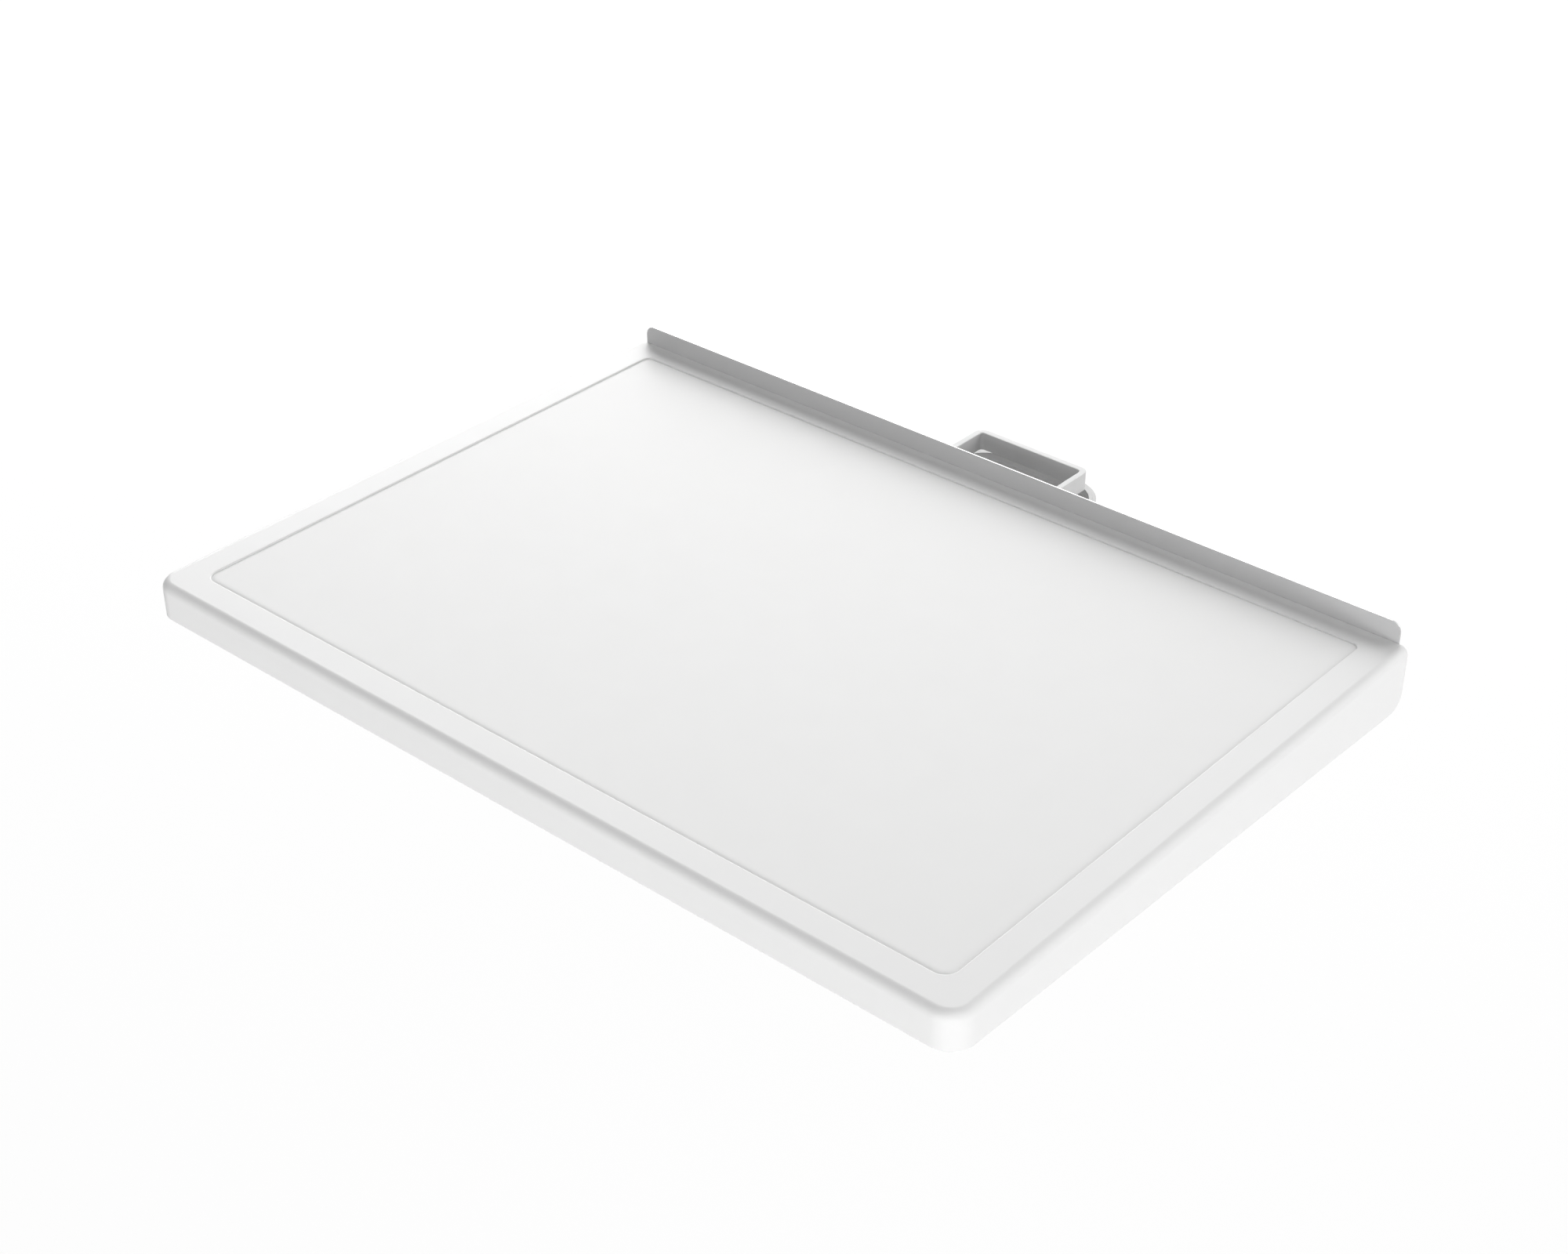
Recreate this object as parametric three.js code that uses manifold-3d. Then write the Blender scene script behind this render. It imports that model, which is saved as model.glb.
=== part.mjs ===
// A work board with a lift-out cutting sheet, carried on an upright flat post.
// A guide loop steadies the post at the rim, and a clamp collar below it holds the post.
// Millimetres, +X to the right, +Y to the rear, +Z up.
// The origin is the middle of the post's passage, level with the board's rim.
import * as THREE from "three";
import { mergeVertices } from "three/addons/utils/BufferGeometryUtils.js";
import Module from "manifold-3d";

const wasm = await Module();
wasm.setup();

// Clearances
const seatGap = 0.1; // between flat faces that are bolted together
const fitGap = 0.3; // round screws, between sliding pieces and under the sloping cover
const overrun = 5; // how far a cutting shape reaches past what it cuts
const mergeDistance = 1e-4;

// Cutting sheet and the recess it lies in
const recessWidth = 511;
const recessLength = 351;
const recessDrop = 1;
const recessFrontRadius = 8;
const recessRearRadius = 5;
const sheetThickness = 6; // at its edges
const sheetCrown = 0.4; // how far its flat top stands above its eased edges
const sheetEase = 4;

// Board shell
const rimFlat = 15.5;
const edgeRadius = 5;
const rearRim = 14;
const frontHeight = 21;
const rearHeight = 37.6;
const cornerRadius = 14;
const rearBottomRadius = 10;
const shellWall = 3;
const rearFoot = 14;
const bossRadius = 5;

// Bottom cover and the places of its screws, as shares of the board's half width and length
const coverThickness = 2.5;
const coverScrewPlaceShares = [
  [-0.962, 0.08],
  [-0.962, 0.5],
  [-0.962, 0.92],
  [-0.33, 0.5],
  [0.33, 0.5],
  [0.962, 0.08],
  [0.962, 0.5],
  [0.962, 0.92],
];

// Post passage, and the loop round its upper end
const passageWidth = 72;
const passageDepth = 40;
const passageFrontWall = 3.3;
const loopWall = 4;
const loopDrop = 0.8;
const loopHeight = 11.4;
const loopCornerRadius = 6;
const loopScrewSpacing = 40;

// Rear plate, whose upper edge is the board's splash lip
const plateThickness = 1;
const plateRise = 12;
const plateInset = 6;
const plateCornerRadius = 6;
const plateLap = 1;
const plateScrewDrop = 15;
const plateScrewPlaceShares = [-0.83, -0.4, 0.4, 0.83];

// Steel frame inside the shell
const beamThickness = 6;
const beamEndSetback = 26;
const armSpacing = 300;
const armSheet = 2.5;
const armFlangeWidth = 24;
const armFootWidth = 34;
const armFootThickness = 3;
const armFrontSetback = 45;
const armCoverClearance = 1.5;
const armScrewSpacing = 20;
const armScrewDrop = 19.5;
const railWidth = 20;
const railThickness = 2.5;

// Clamp collar, its walls' distance from the passage and the rebate round its mouth
const collarSideMargin = 14;
const collarRearMargin = 15.5;
const collarRadius = 26;
const collarMouthWall = 2;
const collarWall = 3.5;
const collarDrop = 18;
const collarHeight = 64;
const collarLedge = 2;
const collarBossRadius = 11;
const collarBossLength = 5;
const earReach = 18;
const earThickness = 6;
const earTop = 5;
const earBottom = 27;
const earCornerRadius = 3;
const collarBoltDrops = [10, 22];

// Glide liner inside the collar, and the lip that stands in the collar's rebate
const linerDrop = 5;
const linerLip = 1.4;
const linerGroove = 0.4;
const linerTopFlange = 3;
const linerBottomFlange = 6;
const linerWall = 3;

// Clamp screw, knob and shoe
const clampDrop = 61;
const clampTravel = 3;
const shoeWidth = 40;
const shoeHeight = 20;
const shoeThickness = 5;
const padThickness = 1.5;
const padMargin = 2;
const clampScrewRadius = 4;
const clampNeckRadius = 2.5;
const clampNeckLength = 3.4;
const bushRadius = 6.5;
const bushFlangeRadius = 9;
const bushFlangeThickness = 3;
const knobRadius = 16;
const knobLength = 16;
const knobFluteDepth = 2.2;
const knobEdge = 1.5;
const knobLobes = 6;
const knobCapRadius = 6;
const knobCapThickness = 2.6;
const knobStandoff = 0.5;

// Sunk screws, raised screws and socket bolts
const screwRadius = 2;
const screwHeadRadius = 4;
const sunkHeadHeight = 2.2;
const raisedHeadHeight = 2.4;
const boltRadius = 2.5;
const boltHeadRadius = 4.25;
const boltHeadHeight = 5;
const boltSocketRadius = 2.3;
const boltSocketDepth = 2.5;
const coverScrewLength = 12;
const loopScrewLength = 13;
const plateScrewLength = 10;
const railScrewLength = 4.6;
const linerScrewLength = 11;
const collarBoltLength = 16;
const armScrewLength = 8;

// Facet counts
const cornerSteps = 6;
const wideCornerSteps = 8;
const sheetEaseSteps = 3;
const screwSides = 12;
const turnedSides = 24;
const knobSteps = 48;

// Places worked out from the sizes
const boardHalfWidth = recessWidth / 2 + rimFlat + edgeRadius;
const boardLength = rimFlat + edgeRadius + recessLength + rearRim;
const rearY = -(passageDepth / 2 + passageFrontWall + seatGap + plateThickness + seatGap);
const frontY = rearY - boardLength;
const slope = Math.atan2(rearHeight - frontHeight, boardLength);
const slopeUp = new THREE.Vector3(0, Math.sin(slope), Math.cos(slope));
const plateFrontY = rearY + seatGap;
const plateRearY = plateFrontY + plateThickness;
const plateBottomZ = -(rearHeight - rearBottomRadius - plateLap);
const bracketFrontY = plateRearY + seatGap;
const pocketFloorZ = -(recessDrop + sheetThickness + seatGap);
const panUnderZ = pocketFloorZ - shellWall;
const recessRearY = rearY - rearRim;
const recessFrontY = recessRearY - recessLength;
const beamRearY = rearY - shellWall - seatGap;
const beamFrontY = beamRearY - beamThickness;
const beamTopZ = -(shellWall + seatGap);
const beamBottomZ = -(rearHeight - rearBottomRadius);
const armTopZ = panUnderZ - fitGap;
const armRearY = beamFrontY - seatGap;
const armFrontY = frontY + armFrontSetback;
const railTopZ = armTopZ - armSheet - seatGap;
const loopMiddleZ = -(loopDrop + loopHeight / 2);
const collarHalfWidth = passageWidth / 2 + collarSideMargin;
const collarRearY = passageDepth / 2 + collarRearMargin;
const collarTopZ = -collarDrop;
const collarBottomZ = collarTopZ - collarHeight;
const linerTopZ = collarTopZ - linerDrop;
const linerBottomZ = collarBottomZ + collarLedge + fitGap;
const linerFlangeMiddleZ = linerBottomZ + linerBottomFlange / 2;
const linerFlangeBottomZ = linerTopZ - linerTopFlange;
const earMiddleX = collarHalfWidth + earReach / 2;
const clampZ = -clampDrop;
const padFrontY = passageDepth / 2 + fitGap;
const shoeFrontY = padFrontY + padThickness + seatGap;
const shoeRearY = shoeFrontY + shoeThickness;
const collarInnerRearY = collarRearY - collarWall;
const bossEndY = collarRearY + collarBossLength;
const knobFrontY = bossEndY + knobStandoff + clampTravel;
const knobRearY = knobFrontY + knobLength;

const towardsRear = new THREE.Vector3(0, 1, 0);
const towardsFront = new THREE.Vector3(0, -1, 0);
const upwards = new THREE.Vector3(0, 0, 1);
const downwards = new THREE.Vector3(0, 0, -1);
const rightwards = new THREE.Vector3(1, 0, 0);

// A closed geometry as a solid that can be joined and cut.
function solid(geometry) {
  const bare = geometry.index ? geometry.toNonIndexed() : geometry.clone();
  bare.deleteAttribute("normal");
  bare.deleteAttribute("uv");
  const merged = mergeVertices(bare, mergeDistance);
  return new wasm.Manifold(
    new wasm.Mesh({
      numProp: 3,
      vertProperties: merged.attributes.position.array,
      triVerts: new Uint32Array(merged.index.array),
    }),
  );
}

// A finished solid as a geometry with flat faces.
function geometryOf(body) {
  const mesh = body.getMesh();
  const indexed = new THREE.BufferGeometry();
  indexed.setAttribute("position", new THREE.BufferAttribute(mesh.vertProperties, 3));
  indexed.setIndex(new THREE.BufferAttribute(mesh.triVerts, 1));
  const geometry = indexed.toNonIndexed();
  geometry.computeVertexNormals();
  return geometry;
}

// The height of the board's sloping underside at a distance along Y.
function underside(y) {
  return -rearHeight + (rearY - y) * Math.tan(slope);
}

// The points of a round stretch.
function arc(x, y, radius, start, end, steps) {
  const points = [];
  for (let i = 0; i <= steps; i += 1) {
    const angle = start + ((end - start) * i) / steps;
    points.push(new THREE.Vector2(x + radius * Math.cos(angle), y + radius * Math.sin(angle)));
  }
  return points;
}

// The points of a rectangle whose lower and upper corners are rounded.
// They run anticlockwise from the lower right corner.
function rectangle(left, right, lower, upper, lowerRadius, upperRadius, steps = cornerSteps) {
  const quarter = Math.PI / 2;
  const corners = [
    [right - lowerRadius, lower + lowerRadius, lowerRadius],
    [right - upperRadius, upper - upperRadius, upperRadius],
    [left + upperRadius, upper - upperRadius, upperRadius],
    [left + lowerRadius, lower + lowerRadius, lowerRadius],
  ];
  return corners.flatMap(([x, y, radius], i) =>
    radius > 0 ? arc(x, y, radius, (i - 1) * quarter, i * quarter, steps) : [new THREE.Vector2(x, y)],
  );
}

// An outline seen from above, raised from one height to another.
function upright(points, bottom, top) {
  const settings = { depth: top - bottom, bevelEnabled: false };
  const geometry = new THREE.ExtrudeGeometry(new THREE.Shape(points), settings);
  return geometry.translate(0, 0, bottom);
}

// An outline in Y and Z, drawn out along X.
function sideways(points, left, right) {
  const settings = { depth: right - left, bevelEnabled: false };
  const geometry = new THREE.ExtrudeGeometry(new THREE.Shape(points), settings);
  const turn = new THREE.Matrix4().makeBasis(towardsRear, upwards, rightwards);
  return geometry.applyMatrix4(turn).translate(left, 0, 0);
}

// An outline in X and Z, drawn out along Y.
function facing(points, front, rear) {
  const settings = { depth: rear - front, bevelEnabled: false };
  const geometry = new THREE.ExtrudeGeometry(new THREE.Shape(points), settings);
  return geometry.rotateX(Math.PI / 2).translate(0, rear, 0);
}

// A block between two corners.
function block(left, right, front, rear, bottom, top) {
  const geometry = new THREE.BoxGeometry(right - left, rear - front, top - bottom);
  return geometry.translate((left + right) / 2, (front + rear) / 2, (bottom + top) / 2);
}

// A profile of radius and height turned about Y.
function turned(profile, sides = turnedSides) {
  const points = profile.map(([radius, y]) => new THREE.Vector2(radius, y));
  return new THREE.LatheGeometry(points, sides);
}

// The place of a fastener: the point where it seats, and the way its head points.
function place(x, y, z, head) {
  return { position: new THREE.Vector3(x, y, z), head };
}

// A fastener's geometry, which points its head along Y, moved to its place.
function moved(geometry, { position, head }) {
  const turn = new THREE.Quaternion().setFromUnitVectors(towardsRear, head);
  return geometry.clone().applyQuaternion(turn).translate(position.x, position.y, position.z);
}

// A solid with one hole cut at each place.
function drilled(body, hole, places) {
  return places.reduce((left, at) => left.subtract(solid(moved(hole, at))), body);
}

// A countersunk screw, whose head's face is at zero.
function sunkScrew(length) {
  return turned(
    [
      [0, -length],
      [screwRadius, -length],
      [screwRadius, -sunkHeadHeight],
      [screwHeadRadius, 0],
      [0, 0],
    ],
    screwSides,
  );
}

// The countersunk hole that clears such a screw.
function sunkHole(length) {
  return turned(
    [
      [0, -length - fitGap],
      [screwRadius + fitGap, -length - fitGap],
      [screwRadius + fitGap, -sunkHeadHeight],
      [screwHeadRadius + fitGap, 0],
      [screwHeadRadius + fitGap, overrun],
      [0, overrun],
    ],
    screwSides,
  );
}

// A screw with a raised head, whose head's underside is at zero.
function raisedScrew(length) {
  return turned(
    [
      [0, -length],
      [screwRadius, -length],
      [screwRadius, 0],
      [screwHeadRadius, 0],
      [screwHeadRadius, raisedHeadHeight],
      [0, raisedHeadHeight],
    ],
    screwSides,
  );
}

// A bolt with a round head and a hexagon socket, whose head's underside is at zero.
function socketBolt(length) {
  const body = turned(
    [
      [0, -length],
      [boltRadius, -length],
      [boltRadius, 0],
      [boltHeadRadius, 0],
      [boltHeadRadius, boltHeadHeight],
      [0, boltHeadHeight],
    ],
    screwSides,
  );
  const socketHeight = boltSocketDepth + overrun;
  const socket = new THREE.CylinderGeometry(boltSocketRadius, boltSocketRadius, socketHeight, 6);
  socket.translate(0, boltHeadHeight - boltSocketDepth + socketHeight / 2, 0);
  return geometryOf(solid(body).subtract(solid(socket)));
}

// A plain hole that clears a shank, from above its seat to past its point.
function shankHole(radius, length) {
  return turned(
    [
      [0, -length - fitGap],
      [radius + fitGap, -length - fitGap],
      [radius + fitGap, overrun],
      [0, overrun],
    ],
    screwSides,
  );
}

// Where the fasteners go
const coverScrewPlaces = coverScrewPlaceShares.map(([across, along]) => {
  const y = frontY + along * boardLength;
  return place(across * boardHalfWidth, y, underside(y), slopeUp.clone().negate());
});
const loopScrewPlaces = [-1, 1].map((side) =>
  place((side * loopScrewSpacing) / 2, -passageDepth / 2, loopMiddleZ, towardsRear),
);
const plateScrewPlaces = plateScrewPlaceShares.map((share) =>
  place(share * boardHalfWidth, plateRearY + seatGap, -plateScrewDrop, towardsRear),
);
const collarBoltPlaces = [-1, 1].flatMap((side) =>
  collarBoltDrops.map((drop) =>
    place(side * earMiddleX, bracketFrontY + earThickness + seatGap, -drop, towardsRear),
  ),
);
const armScrewPlaces = [-1, 1].flatMap((arm) =>
  [-1, 1].map((side) =>
    place(
      (arm * armSpacing) / 2 + (side * armScrewSpacing) / 2,
      armRearY - armFootThickness - seatGap,
      -armScrewDrop,
      towardsFront,
    ),
  ),
);
const railScrewPlaces = [-1, 1].map((arm) =>
  place((arm * armSpacing) / 2, armFrontY + railWidth / 2, railTopZ - railThickness - seatGap, downwards),
);
const linerScrewPlaces = [-1, 1].map((side) =>
  place(side * collarHalfWidth, 0, linerFlangeMiddleZ, new THREE.Vector3(side, 0, 0)),
);

// The rounded lower rear corner of the board's side. An inset of the wall gives the hollow's.
function roundedCorner(inset) {
  const middleY = rearY - rearBottomRadius;
  const middleZ = -rearHeight + (rearBottomRadius * (1 + Math.sin(slope))) / Math.cos(slope);
  return arc(middleY, middleZ, rearBottomRadius - inset, -Math.PI / 2 - slope, 0, cornerSteps);
}

// The board's outside: rounded along its top edges, round its front corners and under its rear edge.
function boardOutside() {
  const plan = rectangle(
    -boardHalfWidth,
    boardHalfWidth,
    frontY,
    rearY + edgeRadius + overrun,
    cornerRadius,
    0,
    wideCornerSteps,
  );
  const straight = rearHeight + overrun;
  const raised = new THREE.ExtrudeGeometry(new THREE.Shape(plan), {
    depth: straight,
    bevelThickness: edgeRadius,
    bevelSize: edgeRadius,
    bevelOffset: -edgeRadius,
    bevelSegments: cornerSteps,
  });
  raised.translate(0, 0, -straight - edgeRadius);
  const side = [
    new THREE.Vector2(frontY - overrun, underside(frontY - overrun)),
    ...roundedCorner(0),
    new THREE.Vector2(rearY, overrun),
    new THREE.Vector2(frontY - overrun, overrun),
  ];
  const reach = boardHalfWidth + overrun;
  return solid(raised).intersect(solid(sideways(side, -reach, reach)));
}

// The hollow under the rim and the pan, open below for the cover.
function boardHollow() {
  const halfWidth = boardHalfWidth - shellWall;
  const front = frontY + shellWall;
  const radius = cornerRadius - shellWall;
  const plan = rectangle(-halfWidth, halfWidth, front, rearY, radius, 0, wideCornerSteps);
  const footY = rearY - rearFoot;
  const side = [
    new THREE.Vector2(front - overrun, underside(front) - overrun),
    new THREE.Vector2(footY, underside(footY) - overrun),
    new THREE.Vector2(footY, underside(footY) + shellWall / Math.cos(slope)),
    ...roundedCorner(shellWall),
    new THREE.Vector2(rearY - shellWall, -shellWall),
    new THREE.Vector2(front - overrun, -shellWall),
  ];
  const hollow = solid(upright(plan, -rearHeight - overrun, 0)).intersect(
    solid(sideways(side, -boardHalfWidth, boardHalfWidth)),
  );
  const pan = rectangle(
    -recessWidth / 2 - shellWall,
    recessWidth / 2 + shellWall,
    recessFrontY - shellWall,
    recessRearY + shellWall,
    recessFrontRadius + shellWall,
    recessRearRadius + shellWall,
  );
  return hollow.subtract(solid(upright(pan, panUnderZ, overrun)));
}

// The posts inside the shell that the cover is screwed to.
function boardBosses() {
  return coverScrewPlaces.map((at) => {
    const underPan = Math.abs(at.position.x) < recessWidth / 2;
    const rootZ = (underPan ? panUnderZ : -shellWall) + shellWall / 2;
    const start = coverThickness + fitGap;
    const length = (rootZ - at.position.z) / Math.cos(slope) - start;
    const boss = new THREE.CylinderGeometry(bossRadius, bossRadius, length, screwSides);
    boss.translate(0, -start - length / 2, 0);
    return solid(moved(boss, at));
  });
}

function boardShell() {
  const recess = rectangle(
    -recessWidth / 2,
    recessWidth / 2,
    recessFrontY,
    recessRearY,
    recessFrontRadius,
    recessRearRadius,
  );
  const hollowed = boardOutside()
    .subtract(boardHollow())
    .subtract(solid(upright(recess, pocketFloorZ, overrun)));
  let body = boardBosses().reduce((shell, boss) => shell.add(boss), hollowed);
  body = drilled(body, shankHole(screwRadius, coverScrewLength), coverScrewPlaces);
  body = drilled(body, shankHole(screwRadius, loopScrewLength), loopScrewPlaces);
  body = drilled(body, shankHole(screwRadius, plateScrewLength), plateScrewPlaces);
  body = drilled(body, shankHole(boltRadius, collarBoltLength), collarBoltPlaces);
  return geometryOf(body);
}

// The lift-out sheet, whose upper edges fall away gently towards the recess's walls.
function cuttingSheet() {
  const plan = rectangle(
    -recessWidth / 2 + fitGap,
    recessWidth / 2 - fitGap,
    recessFrontY + fitGap,
    recessRearY - fitGap,
    recessFrontRadius - fitGap,
    recessRearRadius - fitGap,
  );
  const straight = sheetThickness + overrun;
  const eased = new THREE.ExtrudeGeometry(new THREE.Shape(plan), {
    depth: straight,
    bevelThickness: sheetCrown,
    bevelSize: sheetEase,
    bevelOffset: -sheetEase,
    bevelSegments: sheetEaseSteps,
  });
  eased.translate(0, 0, -recessDrop - straight);
  const room = block(-boardHalfWidth, boardHalfWidth, frontY, rearY, pocketFloorZ + seatGap, 0);
  return geometryOf(solid(eased).intersect(solid(room)));
}

function bottomCover() {
  const inset = shellWall + fitGap;
  const front = frontY + inset;
  const rear = rearY - rearFoot - fitGap;
  const halfWidth = boardHalfWidth - inset;
  const plan = rectangle(-halfWidth, halfWidth, front, rear, cornerRadius - inset, 0, wideCornerSteps);
  const rise = coverThickness / Math.cos(slope);
  const side = [
    new THREE.Vector2(front - overrun, underside(front - overrun)),
    new THREE.Vector2(rear + overrun, underside(rear + overrun)),
    new THREE.Vector2(rear + overrun, underside(rear + overrun) + rise),
    new THREE.Vector2(front - overrun, underside(front - overrun) + rise),
  ];
  const body = solid(upright(plan, -rearHeight - overrun, 0)).intersect(
    solid(sideways(side, -boardHalfWidth, boardHalfWidth)),
  );
  return geometryOf(drilled(body, sunkHole(coverScrewLength), coverScrewPlaces));
}

function rearPlate() {
  const halfWidth = boardHalfWidth - plateInset;
  const outline = rectangle(-halfWidth, halfWidth, plateBottomZ, plateRise, 0, plateCornerRadius);
  let body = solid(facing(outline, plateFrontY, plateRearY));
  body = drilled(body, shankHole(screwRadius, loopScrewLength), loopScrewPlaces);
  body = drilled(body, shankHole(screwRadius, plateScrewLength), plateScrewPlaces);
  body = drilled(body, shankHole(boltRadius, collarBoltLength), collarBoltPlaces);
  return geometryOf(body);
}

function rearBeam() {
  const half = boardHalfWidth - beamEndSetback;
  let body = solid(block(-half, half, beamFrontY, beamRearY, beamBottomZ, beamTopZ));
  body = drilled(body, shankHole(screwRadius, loopScrewLength), loopScrewPlaces);
  body = drilled(body, shankHole(screwRadius, plateScrewLength), plateScrewPlaces);
  body = drilled(body, shankHole(boltRadius, collarBoltLength), collarBoltPlaces);
  body = drilled(body, shankHole(boltRadius, armScrewLength), armScrewPlaces);
  return geometryOf(body);
}

// A tapered steel arm: a flange under the pan, a web below it and a foot bolted to the beam.
function supportArm(middleX) {
  const footFrontY = armRearY - armFootThickness;
  const webFrontY = armFrontY + railWidth + fitGap;
  const clearance = coverThickness + armCoverClearance;
  const flangeHalf = armFlangeWidth / 2;
  const footHalf = armFootWidth / 2;
  const web = [
    new THREE.Vector2(webFrontY, underside(webFrontY) + clearance),
    new THREE.Vector2(footFrontY - armFootThickness, beamBottomZ),
    new THREE.Vector2(armRearY - armFootThickness / 2, beamBottomZ),
    new THREE.Vector2(armRearY - armFootThickness / 2, armTopZ - armSheet / 2),
    new THREE.Vector2(webFrontY, armTopZ - armSheet / 2),
  ];
  const flange = block(
    middleX - flangeHalf,
    middleX + flangeHalf,
    armFrontY,
    armRearY - armFootThickness / 2,
    armTopZ - armSheet,
    armTopZ,
  );
  const foot = block(middleX - footHalf, middleX + footHalf, footFrontY, armRearY, beamBottomZ, armTopZ);
  let body = solid(sideways(web, middleX - armSheet / 2, middleX + armSheet / 2));
  body = body.add(solid(flange)).add(solid(foot));
  body = drilled(body, shankHole(boltRadius, armScrewLength), armScrewPlaces);
  body = drilled(body, shankHole(screwRadius, railScrewLength), railScrewPlaces);
  return geometryOf(body);
}

function frontRail() {
  const half = armSpacing / 2 + armFlangeWidth / 2;
  const bar = block(-half, half, armFrontY, armFrontY + railWidth, railTopZ - railThickness, railTopZ);
  return geometryOf(drilled(solid(bar), shankHole(screwRadius, railScrewLength), railScrewPlaces));
}

// The rectangular ring that steadies the post level with the rim.
function guideLoop() {
  const outer = rectangle(
    -passageWidth / 2 - loopWall,
    passageWidth / 2 + loopWall,
    bracketFrontY,
    passageDepth / 2 + loopWall,
    0,
    loopCornerRadius,
  );
  const inner = rectangle(
    -passageWidth / 2,
    passageWidth / 2,
    -passageDepth / 2,
    passageDepth / 2,
    0,
    loopCornerRadius - loopWall,
    cornerSteps / 2,
  );
  const bottom = -loopDrop - loopHeight;
  const body = solid(upright(outer, bottom, -loopDrop)).subtract(
    solid(upright(inner, bottom - overrun, overrun)),
  );
  return geometryOf(drilled(body, sunkHole(loopScrewLength), loopScrewPlaces));
}

// The collar's outline seen from above, moved in by an inset on its sides and rear.
function collarOutline(inset, front) {
  return rectangle(
    -collarHalfWidth + inset,
    collarHalfWidth - inset,
    front,
    collarRearY - inset,
    0,
    collarRadius - inset,
    wideCornerSteps,
  );
}

// The cast collar: a tube round the liner, two ears bolted to the board and a boss for the clamp screw.
function clampCollar() {
  const ledgeInset = collarWall + collarLedge;
  const innerFront = -passageDepth / 2;
  let body = solid(upright(collarOutline(0, bracketFrontY), collarBottomZ, collarTopZ));
  for (const side of [-1, 1]) {
    const near = side * (collarHalfWidth - collarWall);
    const far = side * (collarHalfWidth + earReach);
    const ear = rectangle(
      Math.min(near, far),
      Math.max(near, far),
      -earBottom,
      -earTop,
      earCornerRadius,
      earCornerRadius,
      cornerSteps / 2,
    );
    body = body.add(solid(facing(ear, bracketFrontY, bracketFrontY + earThickness)));
  }
  const bossLength = collarBossLength + collarWall / 2;
  const boss = new THREE.CylinderGeometry(collarBossRadius, collarBossRadius, bossLength, turnedSides);
  boss.translate(0, bossEndY - bossLength / 2, clampZ);
  body = body.add(solid(boss));
  body = body.subtract(
    solid(upright(collarOutline(collarWall, innerFront), collarBottomZ + collarLedge, collarTopZ + overrun)),
  );
  body = body.subtract(
    solid(upright(collarOutline(ledgeInset, innerFront), collarBottomZ - overrun, collarTopZ)),
  );
  const rebate = upright(
    collarOutline(collarMouthWall, innerFront),
    linerFlangeBottomZ - seatGap,
    collarTopZ + overrun,
  );
  body = body.subtract(solid(rebate));
  const bushHole = new THREE.CylinderGeometry(
    bushRadius + fitGap,
    bushRadius + fitGap,
    2 * (collarBossLength + collarWall),
    turnedSides,
  );
  bushHole.translate(0, collarRearY, clampZ);
  body = body.subtract(solid(bushHole));
  body = drilled(body, shankHole(boltRadius, collarBoltLength), collarBoltPlaces);
  return geometryOf(drilled(body, sunkHole(linerScrewLength), linerScrewPlaces));
}

// A U seen from above, open to the front, round the passage.
function linerSection(outside, bottom, top) {
  const front = -passageDepth / 2 + fitGap;
  const inside = [
    new THREE.Vector2(-passageWidth / 2, front),
    new THREE.Vector2(-passageWidth / 2, passageDepth / 2),
    new THREE.Vector2(passageWidth / 2, passageDepth / 2),
    new THREE.Vector2(passageWidth / 2, front),
  ];
  return solid(upright([...outside, ...inside], bottom, top));
}

// The moulded liner that the post glides in, with a lip round its mouth and a window for the shoe.
function collarLiner() {
  const front = -passageDepth / 2 + fitGap;
  const lipInset = collarMouthWall + linerGroove;
  const wide = collarOutline(collarWall + fitGap, front);
  const mouth = collarOutline(lipInset, front);
  const thin = rectangle(
    -passageWidth / 2 - linerWall,
    passageWidth / 2 + linerWall,
    front,
    passageDepth / 2 + linerWall,
    0,
    0,
  );
  const inside = collarOutline(lipInset + linerLip, front - overrun);
  const lip = solid(upright(mouth, linerTopZ - linerTopFlange / 2, collarTopZ)).subtract(
    solid(upright(inside, linerFlangeBottomZ, collarTopZ + overrun)),
  );
  let body = linerSection(thin, linerBottomZ, linerTopZ)
    .add(linerSection(mouth, linerFlangeBottomZ, linerTopZ))
    .add(lip)
    .add(linerSection(wide, linerBottomZ, linerBottomZ + linerBottomFlange));
  const windowHalfWidth = shoeWidth / 2 + fitGap;
  const windowHalfHeight = shoeHeight / 2 + fitGap;
  const window = block(
    -windowHalfWidth,
    windowHalfWidth,
    passageDepth / 2 - overrun,
    passageDepth / 2 + linerWall + overrun,
    clampZ - windowHalfHeight,
    clampZ + windowHalfHeight,
  );
  body = body.subtract(solid(window));
  return geometryOf(drilled(body, shankHole(screwRadius, linerScrewLength), linerScrewPlaces));
}

// The flanged bush that carries the clamp screw's thread.
function threadBush() {
  const flangeRearY = collarInnerRearY - seatGap;
  const flangeFrontY = flangeRearY - bushFlangeThickness;
  const bore = clampScrewRadius + fitGap;
  return turned([
    [bore, flangeFrontY],
    [bushFlangeRadius, flangeFrontY],
    [bushFlangeRadius, flangeRearY],
    [bushRadius, flangeRearY],
    [bushRadius, bossEndY],
    [bore, bossEndY],
    [bore, flangeFrontY],
  ]).translate(0, 0, clampZ);
}

function clampShoe() {
  const plate = block(
    -shoeWidth / 2,
    shoeWidth / 2,
    shoeFrontY,
    shoeRearY,
    clampZ - shoeHeight / 2,
    clampZ + shoeHeight / 2,
  );
  const socketDepth = clampNeckLength;
  const socket = new THREE.CylinderGeometry(
    clampNeckRadius + fitGap,
    clampNeckRadius + fitGap,
    2 * socketDepth,
    screwSides,
  );
  socket.translate(0, shoeRearY, clampZ);
  return geometryOf(solid(plate).subtract(solid(socket)));
}

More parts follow.
